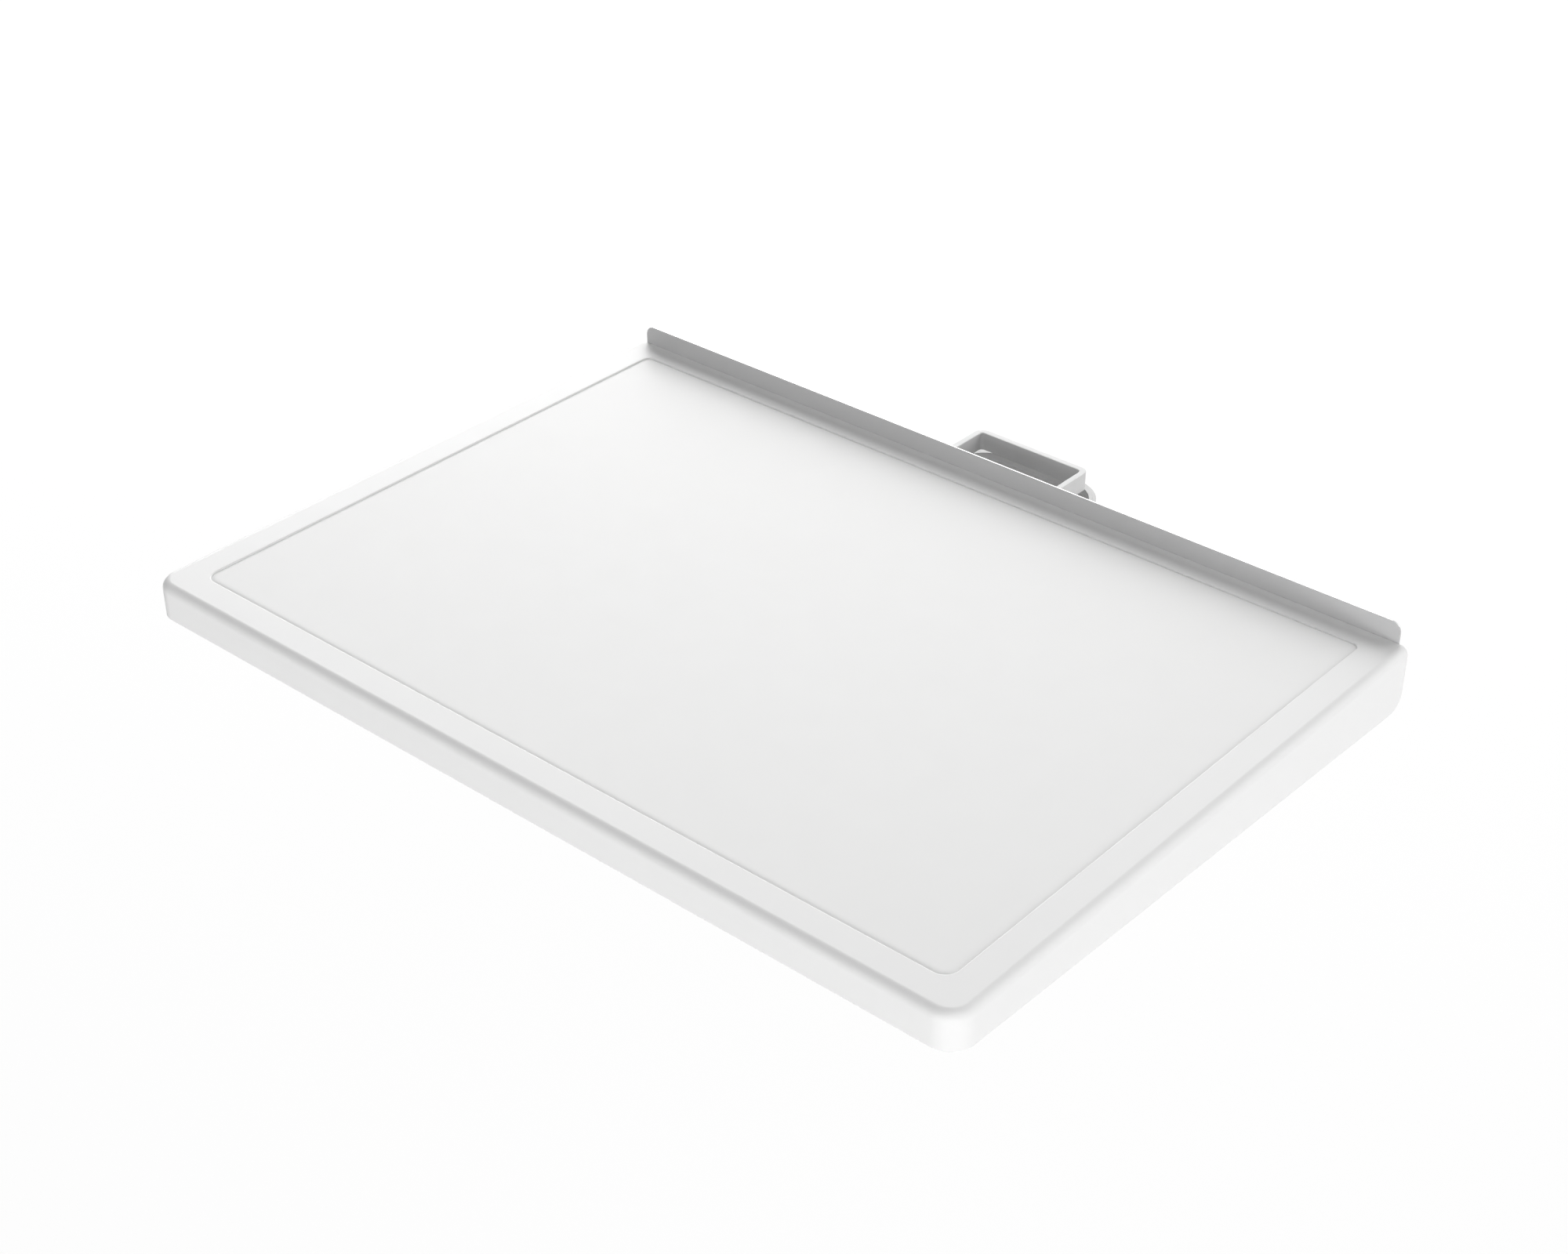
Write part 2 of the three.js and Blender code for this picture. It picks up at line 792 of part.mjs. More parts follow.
function shoePad() {
  const halfWidth = shoeWidth / 2 - padMargin;
  const halfHeight = shoeHeight / 2 - padMargin;
  return block(
    -halfWidth,
    halfWidth,
    padFrontY,
    padFrontY + padThickness,
    clampZ - halfHeight,
    clampZ + halfHeight,
  );
}

// The screw's neck turns in the shoe's socket, and its rear end is held in the knob.
function clampScrew() {
  const neckFrontY = shoeRearY - clampNeckLength + fitGap;
  const shoulderY = shoeRearY + fitGap;
  const endY = knobRearY - knobCapThickness - fitGap;
  return turned(
    [
      [0, neckFrontY],
      [clampNeckRadius, neckFrontY],
      [clampNeckRadius, shoulderY],
      [clampScrewRadius, shoulderY],
      [clampScrewRadius, endY],
      [0, endY],
    ],
    screwSides,
  ).translate(0, 0, clampZ);
}

// The fluted knob, with a bore for the screw and a recess for its cap.
function clampKnob() {
  const points = [];
  for (let i = 0; i < knobSteps; i += 1) {
    const angle = (2 * Math.PI * i) / knobSteps;
    const radius = knobRadius - (knobFluteDepth * (1 - Math.cos(knobLobes * angle))) / 2;
    points.push(new THREE.Vector2(radius * Math.cos(angle), radius * Math.sin(angle)));
  }
  const grip = new THREE.ExtrudeGeometry(new THREE.Shape(points), {
    depth: knobLength - 2 * knobEdge,
    bevelThickness: knobEdge,
    bevelSize: knobEdge,
    bevelOffset: -knobEdge,
    bevelSegments: 2,
  });
  grip.rotateX(Math.PI / 2).translate(0, knobRearY - knobEdge, clampZ);
  const boreRadius = clampScrewRadius + seatGap;
  const bore = new THREE.CylinderGeometry(boreRadius, boreRadius, 2 * knobLength, screwSides);
  bore.translate(0, knobFrontY, clampZ);
  const recessRadius = knobCapRadius + seatGap;
  const recess = new THREE.CylinderGeometry(recessRadius, recessRadius, 2 * knobCapThickness, turnedSides);
  recess.translate(0, knobRearY, clampZ);
  return geometryOf(solid(grip).subtract(solid(bore)).subtract(solid(recess)));
}

function knobCap() {
  const thickness = knobCapThickness - fitGap;
  const cap = new THREE.CylinderGeometry(knobCapRadius, knobCapRadius, thickness, turnedSides);
  return cap.translate(0, knobRearY - thickness / 2, clampZ);
}

function material(color, roughness, metalness) {
  return new THREE.MeshStandardMaterial({ color, roughness, metalness });
}

const whitePlastic = () => material(0xf1f2f2, 0.45, 0);
const sheetPlastic = () => material(0xf4f4f1, 0.6, 0);
const greyPaint = () => material(0xb4b6b8, 0.5, 0.1);
const whitePaint = () => material(0xe9eaea, 0.4, 0.1);
const zincSteel = () => material(0xb9bcbf, 0.35, 0.9);
const linerPlastic = () => material(0xd5d6d4, 0.55, 0);
const brass = () => material(0xc2a155, 0.35, 0.9);
const castAluminium = () => material(0xc7c9cb, 0.45, 0.8);
const blackPlastic = () => material(0x2b2c2e, 0.55, 0);
const blackRubber = () => material(0x1d1d1e, 0.9, 0);

const cuttingBoard = new THREE.Group();

function addPiece(name, geometry, finish) {
  const mesh = new THREE.Mesh(geometry, finish());
  mesh.name = name;
  cuttingBoard.add(mesh);
  return mesh;
}

// One mesh for each place, numbered from the left, with its head turned to its place's direction.
function addFasteners(name, geometry, places, finish) {
  places.forEach((at, i) => {
    const mesh = addPiece(name + "_" + (i + 1), geometry, finish);
    mesh.position.copy(at.position);
    mesh.quaternion.setFromUnitVectors(towardsRear, at.head);
  });
}

addPiece("board_shell", boardShell(), whitePlastic);
addPiece("cutting_sheet", cuttingSheet(), sheetPlastic);
addPiece("bottom_cover", bottomCover(), whitePlastic);
addFasteners("cover_screw", sunkScrew(coverScrewLength), coverScrewPlaces, zincSteel);
addPiece("rear_plate", rearPlate(), greyPaint);
addFasteners("plate_screw", raisedScrew(plateScrewLength), plateScrewPlaces, zincSteel);
addPiece("rear_beam", rearBeam(), zincSteel);
addPiece("left_arm", supportArm(-armSpacing / 2), zincSteel);
addPiece("right_arm", supportArm(armSpacing / 2), zincSteel);
addFasteners("arm_screw", socketBolt(armScrewLength), armScrewPlaces, zincSteel);
addPiece("front_rail", frontRail(), zincSteel);
addFasteners("rail_screw", raisedScrew(railScrewLength), railScrewPlaces, zincSteel);
addPiece("guide_loop", guideLoop(), whitePlastic);
addFasteners("loop_screw", sunkScrew(loopScrewLength), loopScrewPlaces, zincSteel);
addPiece("clamp_collar", clampCollar(), whitePaint);
addFasteners("collar_bolt", socketBolt(collarBoltLength), collarBoltPlaces, zincSteel);
addPiece("collar_liner", collarLiner(), linerPlastic);
addFasteners("liner_screw", sunkScrew(linerScrewLength), linerScrewPlaces, zincSteel);
addPiece("thread_bush", threadBush(), brass);
addPiece("clamp_shoe", clampShoe(), castAluminium);
addPiece("shoe_pad", shoePad(), blackRubber);
addPiece("clamp_screw", clampScrew(), zincSteel);
addPiece("clamp_knob", clampKnob(), blackPlastic);
addPiece("knob_cap", knobCap(), blackPlastic);

export default cuttingBoard;
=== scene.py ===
# The work board and its post collar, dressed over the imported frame. All lengths are in metres.
import math

import bmesh
import bpy
from mathutils import Matrix, Vector


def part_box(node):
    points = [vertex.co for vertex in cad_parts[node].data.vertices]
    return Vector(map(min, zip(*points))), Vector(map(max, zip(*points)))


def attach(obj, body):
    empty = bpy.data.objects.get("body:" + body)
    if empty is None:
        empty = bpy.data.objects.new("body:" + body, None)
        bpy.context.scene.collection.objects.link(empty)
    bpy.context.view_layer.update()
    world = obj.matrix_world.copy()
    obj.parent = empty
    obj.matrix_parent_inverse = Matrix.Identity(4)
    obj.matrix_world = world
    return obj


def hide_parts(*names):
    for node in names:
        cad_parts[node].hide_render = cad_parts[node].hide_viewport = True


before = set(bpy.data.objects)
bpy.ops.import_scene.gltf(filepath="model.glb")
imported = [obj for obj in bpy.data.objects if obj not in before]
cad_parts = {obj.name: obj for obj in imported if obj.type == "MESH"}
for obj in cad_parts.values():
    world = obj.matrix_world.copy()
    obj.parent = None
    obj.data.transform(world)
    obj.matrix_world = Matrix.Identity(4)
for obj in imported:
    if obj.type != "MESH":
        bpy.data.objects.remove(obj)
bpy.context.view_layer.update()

MM = 0.001
TINY = 0.00002
X, Z = Vector((1, 0, 0)), Vector((0, 0, 1))

# Where the CAD pieces lie
shell_low, shell_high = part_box("board_shell")
sheet_low, sheet_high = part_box("cutting_sheet")
plate_low, plate_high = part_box("rear_plate")
cover_low, cover_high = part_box("bottom_cover")
loop_low, loop_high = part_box("guide_loop")
collar_low, collar_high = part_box("clamp_collar")
shoe_low, shoe_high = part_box("clamp_shoe")
pad_low, pad_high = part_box("shoe_pad")
knob_low, knob_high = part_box("clamp_knob")
screw_low, screw_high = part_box("clamp_screw")
bush_low, bush_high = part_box("thread_bush")

# Sizes that the boxes don't give
front_height = 21 * MM
rear_height = 37.6 * MM
sheet_gap = 0.3 * MM
shown_gap = 0.05 * MM
ease_width = 4.5 * MM
ease_fall = 0.5 * MM
recess_front_radius = 8 * MM
recess_rear_radius = 5 * MM
recess_floor = sheet_low.z - 0.1 * MM
recess_edge = 0.6 * MM
shell_wall = 3 * MM
front_corner = 14 * MM
top_edge = 5 * MM
rear_bottom_edge = 10 * MM
rear_foot = 14 * MM
slope = math.atan2(rear_height - front_height, shell_high.y - shell_low.y)
cover_thickness = 2.5 * MM
cover_boss_radius = 5 * MM
cover_boss_lift = 3.2 * MM
passage_half_width = 36 * MM
passage_half_depth = 20 * MM
ring_rear_radius = 6 * MM
collar_half_width = 50 * MM
collar_rear = 35.5 * MM
collar_top = -18 * MM
collar_radius = 26 * MM
collar_wall = 3.5 * MM
mouth_wall = 2 * MM
mouth_depth = 8.1 * MM
liner_floor = -23 * MM
liner_rim = 2.2 * MM
sleeve_wall = 3 * MM
ear_bottom = -27 * MM
ear_top = -5 * MM
ear_depth = 6 * MM
ear_radius = 3 * MM
boss_radius = 11 * MM
boss_length = 5 * MM
clamp_level = (shoe_low.z + shoe_high.z) / 2

# Fasteners and the seats that are cut for them
cover_screws = 8
sunk_head_radius = 3.9 * MM
sunk_head_depth = 2.2 * MM
sink_radius = 4.2 * MM
screw_hole = 2.2 * MM
cover_sink_radius = 4.3 * MM
cover_sink_depth = 2.4 * MM
cover_screw_hole = 2.3 * MM
shank_radius = 1.95 * MM
pan_head_radius = 4 * MM
pan_head_height = 2.4 * MM
bolt_head_radius = 4.25 * MM
bolt_head_height = 5 * MM
bolt_shank_radius = 2.45 * MM

# How far a cutting tool stands out of what it cuts, and how far a sink's cone does
overrun = 5 * MM
sink_overrun = 0.02 * MM

# Selecting and editing


def only(piece):
    """Leaves one piece selected, in object mode."""
    if bpy.context.object and bpy.context.object.mode != "OBJECT":
        bpy.ops.object.mode_set(mode="OBJECT")
    bpy.ops.object.select_all(action="DESELECT")
    if piece is not None:
        piece.select_set(True)
        bpy.context.view_layer.objects.active = piece


def choose(piece, kind, test):
    """Enters edit mode with only the edges, faces or points that pass the test selected."""
    only(piece)
    bpy.ops.object.mode_set(mode="EDIT")
    bpy.ops.mesh.select_mode(type=kind)
    bpy.ops.mesh.select_all(action="DESELECT")
    mesh = bmesh.from_edit_mesh(piece.data)
    if kind == "VERT":
        for point in mesh.verts:
            point.select = test(point.co)
    elif kind == "EDGE":
        for edge in mesh.edges:
            edge.select = test(edge.verts[0].co, edge.verts[1].co)
    else:
        for face in mesh.faces:
            face.select = test(face.calc_center_median(), face.normal)
    mesh.select_flush_mode()
    bmesh.update_edit_mesh(piece.data)


def settle(piece):
    """Puts a piece's place, turn and size into its mesh."""
    only(piece)
    bpy.ops.object.transform_apply(location=True, rotation=True, scale=True)
    return piece


def same(a, b):
    return abs(a - b) < TINY


def both(a, b, axis, value):
    """Whether an edge lies in the plane at a value of an axis."""
    return same(a[axis], value) and same(b[axis], value)


def along(a, b, axis):
    """Whether an edge runs along an axis."""
    return all(same(a[i], b[i]) for i in range(3) if i != axis)


def round_edges(piece, radius, segments, test):
    """Rounds the edges that pass the test."""
    choose(piece, "EDGE", test)
    bpy.ops.mesh.bevel(offset=radius, segments=segments, profile=0.5, affect="EDGES")
    bpy.ops.object.mode_set(mode="OBJECT")


def lift(piece, rise, test):
    """Raises the points that pass the test."""
    choose(piece, "VERT", test)
    bpy.ops.transform.translate(value=(0, 0, rise))
    bpy.ops.object.mode_set(mode="OBJECT")


# Starting shapes


def block(name, low, high):
    """A box between two corners, to be shaped."""
    only(None)
    low, high = Vector(low), Vector(high)
    bpy.ops.mesh.primitive_cube_add(size=1, location=(low + high) / 2)
    piece = bpy.context.object
    piece.name = piece.data.name = name
    piece.scale = high - low
    return settle(piece)


def upright_block(name, low, high, front_radius, rear_radius, segments=8):
    """A box whose upright edges are rounded, by one radius in front and another behind."""
    piece = block(name, low, high)
    low, high = Vector(low), Vector(high)

    def upright_at(a, b, y):
        return along(a, b, 2) and both(a, b, 1, y) and max(abs(a.x), abs(b.x)) > high.x - TINY

    for y, radius in ((low.y, front_radius), (high.y, rear_radius)):
        if radius:
            round_edges(piece, radius, segments, lambda a, b: upright_at(a, b, y))
    return piece


def rod(name, start, end, radius, sides=48, end_radius=None):
    """A round bar or cone from one point to another, to be shaped."""
    only(None)
    start, end = Vector(start), Vector(end)
    bpy.ops.mesh.primitive_cone_add(
        vertices=sides,
        radius1=radius,
        radius2=radius if end_radius is None else end_radius,
        depth=(end - start).length,
        location=(start + end) / 2,
        rotation=(end - start).to_track_quat("Z", "Y").to_euler(),
    )
    piece = bpy.context.object
    piece.name = piece.data.name = name
    return settle(piece)


def clamp_rod(name, front, rear, radius, sides=48):
    """A round bar on the clamp's line, between two distances along Y."""
    return rod(name, (0, front, clamp_level), (0, rear, clamp_level), radius, sides)


def stud(name, bottom, top, radius, sides, top_radius=None):
    """A round bar or cone on the Z axis, as the models of the fasteners need."""
    return rod(name, (0, 0, bottom), (0, 0, top), radius, sides, top_radius)


def turned(name, steps, sides=48):
    """A solid of revolution about the clamp's line, drawn out ring by ring from a disc at the first step."""
    only(None)
    radius, y = steps[0]
    bpy.ops.mesh.primitive_circle_add(
        vertices=sides,
        radius=radius,
        fill_type="NGON",
        location=(0, y, clamp_level),
        rotation=(math.pi / 2, 0, 0),
    )
    piece = bpy.context.object
    piece.name = piece.data.name = name
    settle(piece)
    bpy.ops.object.mode_set(mode="EDIT")
    bpy.ops.mesh.select_all(action="SELECT")
    for next_radius, next_y in steps[1:]:
        bpy.ops.mesh.extrude_region_move(TRANSFORM_OT_translate={"value": (0, next_y - y, 0)})
        share = next_radius / radius
        bpy.ops.transform.resize(value=(share, 1, share), center_override=(0, next_y, clamp_level))
        radius, y = next_radius, next_y
    bpy.ops.mesh.select_all(action="SELECT")
    bpy.ops.mesh.normals_make_consistent(inside=False)
    bpy.ops.object.mode_set(mode="OBJECT")
    return piece


def apply(piece, modifier):
    only(piece)
    bpy.ops.object.modifier_apply(modifier=modifier.name)


def combine(piece, tool, operation):
    """Cuts a tool's shape from a piece, or adds it, and removes the tool."""
    modifier = piece.modifiers.new("combine", "BOOLEAN")
    modifier.operation = operation
    modifier.solver = "EXACT"
    modifier.object = tool
    apply(piece, modifier)
    bpy.data.objects.remove(tool, do_unlink=True)
    return piece


def cut(piece, tool):
    return combine(piece, tool, "DIFFERENCE")


def add(piece, tool):
    return combine(piece, tool, "UNION")


def tidy(piece):
    """Merges doubles and flattens needless points after cuts."""
    only(piece)
    bpy.ops.object.mode_set(mode="EDIT")
    bpy.ops.mesh.select_all(action="SELECT")
    bpy.ops.mesh.remove_doubles(threshold=2e-6)
    bpy.ops.mesh.dissolve_limited(angle_limit=math.radians(0.2))
    bpy.ops.object.mode_set(mode="OBJECT")
    return piece


def soften(piece, radius, segments=2, angle=35):
    """Breaks every sharp edge with a small radius."""
    modifier = piece.modifiers.new("soften", "BEVEL")
    modifier.width = radius
    modifier.segments = segments
    modifier.limit_method = "ANGLE"
    modifier.angle_limit = math.radians(angle)
    modifier.miter_outer = "MITER_ARC"
    apply(piece, modifier)
    return piece


def smooth(piece, angle=30):
    """Shades the round parts smoothly and keeps the flat ones flat."""
    only(piece)
    bpy.ops.object.shade_smooth_by_angle(angle=math.radians(angle))
    modifier = piece.modifiers.new("even", "WEIGHTED_NORMAL")
    modifier.keep_sharp = True
    apply(piece, modifier)
    return piece


# Shader groups


def shader_group(name, inputs):
    """An empty group with named inputs and the outputs of a surface, and its two end nodes."""
    group = bpy.data.node_groups.new(name, "ShaderNodeTree")
    for socket, kind, value in inputs:
        made = group.interface.new_socket(socket, in_out="INPUT", socket_type=kind)
        made.default_value = value
    for socket, kind in (("Colour", "Color"), ("Roughness", "Float"), ("Height", "Float")):
        group.interface.new_socket(socket, in_out="OUTPUT", socket_type=f"NodeSocket{kind}")
    start = group.nodes.new("NodeGroupInput")
    end = group.nodes.new("NodeGroupOutput")
    return group, start, end


def noise(tree, vector, scale, detail=3.0):
    """A noise node whose scale is a number or a socket."""
    node = tree.nodes.new("ShaderNodeTexNoise")
    tree.links.new(vector, node.inputs["Vector"])
    node.inputs["Detail"].default_value = detail
    if isinstance(scale, (int, float)):
        node.inputs["Scale"].default_value = scale
    else:
        tree.links.new(scale, node.inputs["Scale"])
    return node.outputs["Fac"]


def math_node(tree, operation, *values):
    """A maths node over sockets and numbers."""
    node = tree.nodes.new("ShaderNodeMath")
    node.operation = operation
    for socket, value in zip(node.inputs, values):
        if isinstance(value, (int, float)):
            socket.default_value = value
        else:
            tree.links.new(value, socket)
    return node.outputs[0]


def spread(tree, value, low, high):
    """A value from 0 to 1 taken to a range."""
    node = tree.nodes.new("ShaderNodeMapRange")
    tree.links.new(value, node.inputs["Value"])
    for name, limit in (("To Min", low), ("To Max", high)):
        if isinstance(limit, (int, float)):
            node.inputs[name].default_value = limit
        else:
            tree.links.new(limit, node.inputs[name])
    return node.outputs["Result"]


def end_group(group, start, end, level, gloss, height):
    """Ends a group: its colour times a level, its roughness moved by a noise about 0.5, and its height."""
    shade = group.nodes.new("ShaderNodeVectorMath")
    shade.operation = "SCALE"
    group.links.new(start.outputs["Colour"], shade.inputs[0])
    group.links.new(level, shade.inputs["Scale"])
    offset = math_node(group, "SUBTRACT", gloss, 0.5)
    change, middle = start.outputs["Roughness Change"], start.outputs["Roughness"]
    group.links.new(shade.outputs["Vector"], end.inputs["Colour"])
    group.links.new(math_node(group, "MULTIPLY_ADD", offset, change, middle), end.inputs["Roughness"])
    group.links.new(height, end.inputs["Height"])


def build_moulding_group():
    """A fine even texture, with slow changes in tone and gloss, as on moulded plastic or powder coat."""
    group, start, end = shader_group(
        "moulded_surface",
        [
            ("Colour", "NodeSocketColor", (0.8, 0.8, 0.8, 1)),
            ("Tone Change", "NodeSocketFloat", 0.02),
            ("Grain Scale", "NodeSocketFloat", 1800.0),
            ("Roughness", "NodeSocketFloat", 0.4),
            ("Roughness Change", "NodeSocketFloat", 0.06),
        ],
    )
    place = group.nodes.new("ShaderNodeTexCoord").outputs["Object"]
    fine = noise(group, place, start.outputs["Grain Scale"], 2.0)
    slow = noise(group, place, 9.0, 4.0)
    smear = noise(group, place, 60.0, 5.0)
    tone_change = start.outputs["Tone Change"]
    lighter = math_node(group, "MULTIPLY_ADD", slow, tone_change, 1.0)
    level = math_node(group, "SUBTRACT", lighter, math_node(group, "MULTIPLY", tone_change, 0.5))
    end_group(group, start, end, level, smear, fine)
    return group


def build_brushed_group():
    """Fine lines along X, with streaks in the gloss, as on drawn or turned metal."""
    group, start, end = shader_group(
        "worked_metal",
        [
            ("Colour", "NodeSocketColor", (0.6, 0.6, 0.6, 1)),
            ("Stretch", "NodeSocketVector", (40.0, 1500.0, 1500.0)),
            ("Roughness", "NodeSocketFloat", 0.3),
            ("Roughness Change", "NodeSocketFloat", 0.12),
        ],
    )
    place = group.nodes.new("ShaderNodeTexCoord").outputs["Object"]
    mapping = group.nodes.new("ShaderNodeMapping")
    group.links.new(place, mapping.inputs["Vector"])
    group.links.new(start.outputs["Stretch"], mapping.inputs["Scale"])
    lines = noise(group, mapping.outputs["Vector"], 1.0, 3.0)
    cloud = noise(group, place, 120.0, 4.0)
    end_group(group, start, end, spread(group, cloud, 0.9, 1.08), lines, lines)
    return group


moulded_surface = build_moulding_group()
worked_metal = build_brushed_group()


def finish_with(name, group, values, bump, depth, shader):
    """A material whose group drives the colour, gloss and bump of one shader."""
    material = bpy.data.materials.new(name)
    material.use_nodes = True
    tree = material.node_tree
    surface = tree.nodes["Principled BSDF"]
    node = tree.nodes.new("ShaderNodeGroup")
    node.node_tree = group
    for socket, value in values.items():
        node.inputs[socket].default_value = value
    tree.links.new(node.outputs["Colour"], surface.inputs["Base Color"])
    tree.links.new(node.outputs["Roughness"], surface.inputs["Roughness"])
    relief = tree.nodes.new("ShaderNodeBump")
    relief.inputs["Strength"].default_value = bump
    relief.inputs["Distance"].default_value = depth
    tree.links.new(node.outputs["Height"], relief.inputs["Height"])
    tree.links.new(relief.outputs["Normal"], surface.inputs["Normal"])
    for socket, value in shader.items():
        surface.inputs[socket].default_value = value
    return material


def moulded(
    name, colour, roughness, grain=1800.0, bump=0.08, depth=0.04 * MM, tone=0.02, change=0.06, specular=0.5
):
    """A finish of moulded plastic, powder coat or rubber."""
    values = {
        "Colour": (*colour, 1),
        "Tone Change": tone,
        "Grain Scale": grain,
        "Roughness": roughness,
        "Roughness Change": change,
    }
    return finish_with(name, moulded_surface, values, bump, depth, {"Specular IOR Level": specular})


def metal(name, colour, roughness, stretch, bump=0.1, depth=0.02 * MM):
    """A finish of drawn, turned, plated or cast metal."""
    values = {"Colour": (*colour, 1), "Stretch": stretch, "Roughness": roughness}
    return finish_with(name, worked_metal, values, bump, depth, {"Metallic": 1.0})


white_moulding = moulded("white_moulding", (0.88, 0.88, 0.878), 0.5, specular=0.38)
# The guide ring's white plastic, set darker than white_moulding: its lower tone is painted shade, not
# another colour.
white_moulding_painted_shade = moulded("white_moulding_painted_shade", (0.77, 0.77, 0.768), 0.5, specular=0.3)
white_board_sheet = moulded("white_board_sheet", (0.85, 0.85, 0.846), 0.55, 900.0, 0.12, tone=0.015)
grey_powder_coat = moulded("grey_powder_coat", (0.585, 0.585, 0.588), 0.45, 1400.0, 0.12, tone=0.03)
# The collar's coat, far darker than the white paint of its slot: a grey whose extra darkness is painted
# shade from the guide ring above.
grey_coat_with_painted_shade = moulded("grey_coat_with_painted_shade", (0.46, 0.46, 0.46), 0.5, 1300.0, 0.14, tone=0.03)
bearing_plastic = moulded("bearing_plastic", (0.62, 0.62, 0.62), 0.5, 900.0, 0.1)
# A grey finish for the guide ring's inner faces: painted shade for the dark inside of the passage. The ring
# has no separate lining.
passage_painted_shade = moulded("passage_painted_shade", (0.7, 0.7, 0.7), 0.55, 900.0, 0.1)
black_grain = moulded("black_grain", (0.025, 0.025, 0.027), 0.5, 1600.0, 0.35, 0.08 * MM, 0.2, 0.15)
black_rubber = moulded("black_rubber", (0.018, 0.018, 0.018), 0.85, 2400.0, 0.3, 0.06 * MM, 0.3, 0.1)
zinc_plate = metal("zinc_plate", (0.62, 0.63, 0.65), 0.3, (400.0, 400.0, 400.0))
bright_steel_edge = metal("bright_steel_edge", (0.35, 0.35, 0.35), 0.35, (60.0, 1400.0, 1400.0), 0.05)
drawn_steel = metal("drawn_steel", (0.58, 0.59, 0.6), 0.36, (30.0, 1400.0, 1400.0))
turned_brass = metal("turned_brass", (0.72, 0.5, 0.2), 0.28, (1400.0, 60.0, 1400.0))
cast_alloy = metal("cast_alloy", (0.64, 0.65, 0.66), 0.42, (700.0, 700.0, 700.0), 0.25)


def second_finish(piece, material, test):
    """Gives the faces that pass the test another finish than the rest of the piece."""
    choose(piece, "FACE", test)
    piece.data.materials.append(material)
    piece.active_material_index = len(piece.data.materials) - 1
    bpy.ops.object.material_slot_assign()
    bpy.ops.object.mode_set(mode="OBJECT")


def dress(piece, body, slot_name, material, *nodes):
    """Gives a finished piece its material, its body and the CAD nodes that it stands for."""
    piece.data.materials.clear()
    piece.data.materials.append(material)
    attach(piece, body)
    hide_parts(*nodes)
    return piece


# The camera, worked out from the board's edges in the photograph
lens_data = bpy.data.cameras.new("product_camera")
lens_data.lens = 58.707
lens_data.sensor_width = 36
lens_data.sensor_fit = "HORIZONTAL"
lens_data.clip_end = 100
product_camera = bpy.data.objects.new("product_camera", lens_data)
bpy.context.scene.collection.objects.link(product_camera)
camera_right = Vector((0.7562222, 0.6543145, -0.000718))
camera_up = Vector((-0.35309506, 0.40901228, 0.84144687))
camera_back = camera_right.cross(camera_up)
turn = Matrix((camera_right, camera_up, camera_back)).transposed().to_4x4()
product_camera.matrix_world = Matrix.Translation((0.75955, -1.07995, 0.72898)) @ turn
bpy.context.scene.camera = product_camera


# The board


def board_underside(y):
    """The height of the sloping underside."""
    return -rear_height + (shell_high.y - y) * math.tan(slope)


def make_board_body():
    low, high = shell_low.copy(), shell_high.copy()
    low.z = -rear_height
    piece = block("board_body", low, high)
    lift(piece, rear_height - front_height, lambda p: same(p.y, low.y) and same(p.z, low.z))
    round_edges(piece, front_corner, 16, lambda a, b: along(a, b, 2) and both(a, b, 1, low.y))
    reach = rear_bottom_edge * math.tan(math.pi / 4 + slope / 2)
    round_edges(piece, reach, 12, lambda a, b: both(a, b, 1, high.y) and both(a, b, 2, low.z))
    round_edges(piece, top_edge, 8, lambda a, b: both(a, b, 2, 0) and not both(a, b, 1, high.y))

    side = high.x - shell_wall
    hollow = upright_block(
        "hollow",
        (-side, low.y + shell_wall, -rear_height - 10 * MM),
        (side, high.y - rear_foot, -shell_wall),
        front_corner - shell_wall,
        0,
    )
    rear_hollow = block(
        "rear_hollow",
        (-side, high.y - rear_foot - overrun, -rear_height + rear_bottom_edge),
        (side, high.y - shell_wall, -shell_wall),
    )
    add(hollow, rear_hollow)
    recess_low = Vector((sheet_low.x - sheet_gap, sheet_low.y - sheet_gap, recess_floor))
    recess_high = Vector((sheet_high.x + sheet_gap, sheet_high.y + sheet_gap, 10 * MM))
    grow = Vector((shell_wall, shell_wall, 0))
    pan = upright_block(
        "pan",
        recess_low - grow - Z * shell_wall,
        recess_high + grow,
        recess_front_radius + shell_wall,
        recess_rear_radius + shell_wall,
    )
    cut(hollow, pan)
    cut(piece, hollow)
    recess = upright_block("recess", recess_low, recess_high, recess_front_radius, recess_rear_radius, 10)
    cut(piece, recess)
    for i in range(cover_screws):
        lower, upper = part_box(f"cover_screw_{i + 1}")
        x, y, _ = (lower + upper) / 2
        under_pan = abs(x) < recess_high.x
        root = (recess_floor if under_pan else 0) - shell_wall / 2
        add(piece, rod("boss", (x, y, lower.z + cover_boss_lift), (x, y, root), cover_boss_radius, 24))
    tidy(piece)

    def in_recess(p):
        return abs(p.x) < recess_high.x + TINY and recess_low.y - TINY < p.y < recess_high.y + TINY

    round_edges(piece, recess_edge, 4, lambda a, b: both(a, b, 2, 0) and in_recess(a) and in_recess(b))
    smooth(piece)
    return dress(piece, "board", "white_plastic", white_moulding, "board_shell")


